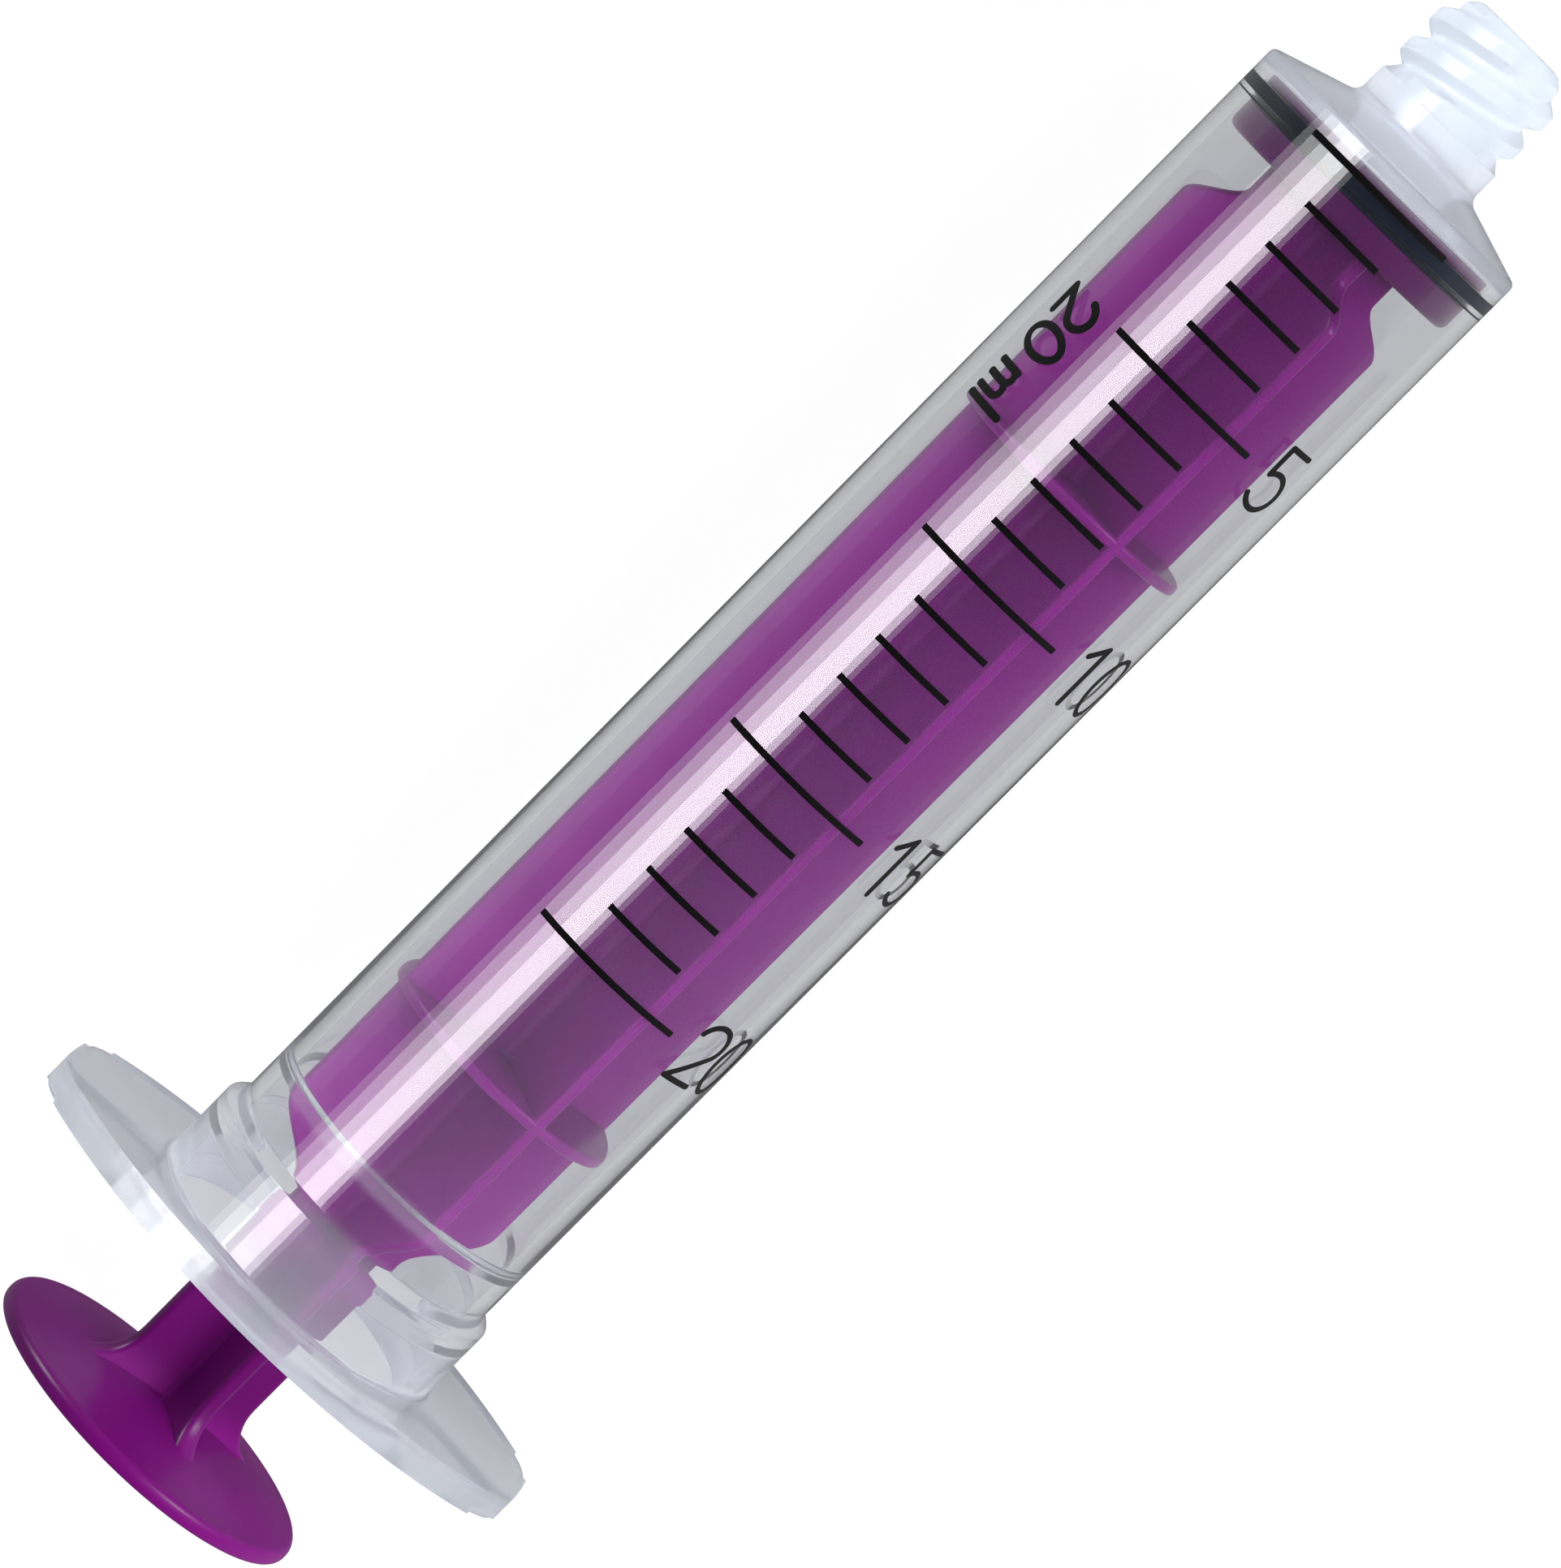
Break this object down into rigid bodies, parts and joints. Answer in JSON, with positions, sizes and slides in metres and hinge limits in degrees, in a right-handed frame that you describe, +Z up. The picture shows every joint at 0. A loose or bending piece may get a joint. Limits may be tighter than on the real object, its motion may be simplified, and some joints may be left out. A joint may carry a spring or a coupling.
{
  "type": "oral syringe",
  "caption": "Clear oral and enteral feeding syringe with a printed scale, winged finger flange, threaded female nozzle and ribbed purple plunger with a sealing ring.",
  "frame": {"origin": "centre of the nozzle's mouth, on the barrel's axis", "axes": "+X leaves the nozzle's mouth along the barrel's axis, the flange's wings reach along Y, and +Z is up when the syringe lies with its wings level and its scale on top"},
  "size_m": [0.1258, 0.0406, 0.0284],
  "materials": {
    "barrel_clear": "clear polypropylene, polished tube and slightly milky flange, shoulder and nozzle",
    "plunger_purple": "purple polypropylene, satin gloss as moulded",
    "seal_rubber": "dark blue-black elastomer, smooth",
    "print_ink": "black pad-printed ink"
  },
  "bodies": {
    "barrel": {"barrel": "barrel_clear", "scale_lines": "print_ink", "scale_numerals": "print_ink", "volume_label": "print_ink"},
    "seal": {"seal_ring": "seal_rubber"},
    "plunger": {"plunger": "plunger_purple"}
  },
  "joints": [
    {"name": "plunger_slide", "type": "slide", "parent": "barrel", "child": "seal", "axis": [-1, 0, 0], "range_m": [0, 0.0841]},
    {"name": "plunger_turn", "type": "hinge", "parent": "seal", "child": "plunger", "pos_m": [-0.0135, 0, 0], "axis": [1, 0, 0], "continuous": true}
  ]
}
